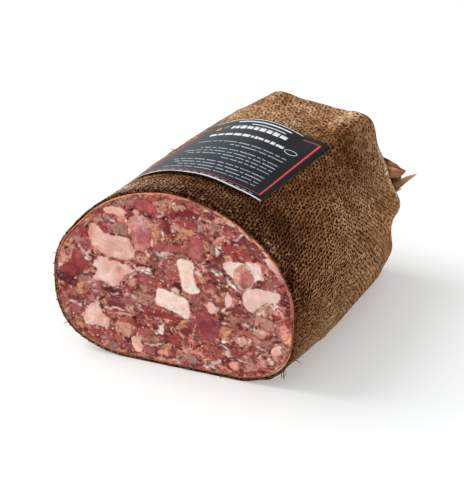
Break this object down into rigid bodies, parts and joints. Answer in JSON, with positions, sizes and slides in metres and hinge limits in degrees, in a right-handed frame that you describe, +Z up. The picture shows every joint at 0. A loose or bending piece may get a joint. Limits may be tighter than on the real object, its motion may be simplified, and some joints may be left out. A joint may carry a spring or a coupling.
{
  "type": "half head cheese in jute wrap",
  "caption": "Half of a pressed pork head cheese, cut straight through to show its chunks, in a tied jute cloth with a blank-text paper label.",
  "frame": {"origin": "middle of the flat base, half way between the cut face and the rear rim", "axes": "+X across the cut face to the right, +Y along the loaf away from the cut face, +Z up"},
  "size_m": [0.1964, 0.2596, 0.1408],
  "materials": {
    "meat": "moist pink-brown minced meat and jelly with pepper",
    "cream_fat": "smooth moist cream-white fat",
    "pink_fat": "moist pink-white fat, lightly mottled",
    "peach_fat": "translucent peach rind and soft fat",
    "rose_lean": "moist rose-pink lean with fine grain",
    "plum_lean": "moist plum-red lean",
    "crimson_lean": "dark moist crimson lean",
    "jelly": "clear grey-brown jelly",
    "casing": "thin salmon-orange natural casing, satin",
    "jute": "coarse brown plain-weave jute, hairy and matt",
    "string": "twisted natural butcher's twine",
    "tail_skin": "dried orange-brown casing end, leathery and torn",
    "label_paper": "dark charcoal printed paper with a red frame line and pale bars, satin"
  },
  "bodies": {
    "root": {"loaf": "meat", "fat_bar": "cream_fat", "fat_block": "cream_fat", "fat_slab_peach": "peach_fat", "fat_mottled": "pink_fat", "fat_oval_top": "peach_fat", "tongue_oval": "rose_lean", "jelly_lens": "jelly", "fat_horseshoe": "cream_fat", "tongue_core": "rose_lean", "fat_boot": "cream_fat", "fat_pearl": "cream_fat", "fat_sliver": "pink_fat", "fat_lower_left": "pink_fat", "fat_right_edge": "pink_fat", "fat_right_low": "cream_fat", "fat_speck_low": "cream_fat", "fat_lower_peach": "peach_fat", "lean_plum": "plum_lean", "lean_left": "crimson_lean", "lean_top": "rose_lean", "lean_streak_top": "crimson_lean", "lean_middle": "rose_lean", "lean_band_low": "crimson_lean", "casing": "casing", "jute_wrap": "jute", "tie_string": "string", "casing_tail": "tail_skin", "label": "label_paper"}
  },
  "joints": []
}
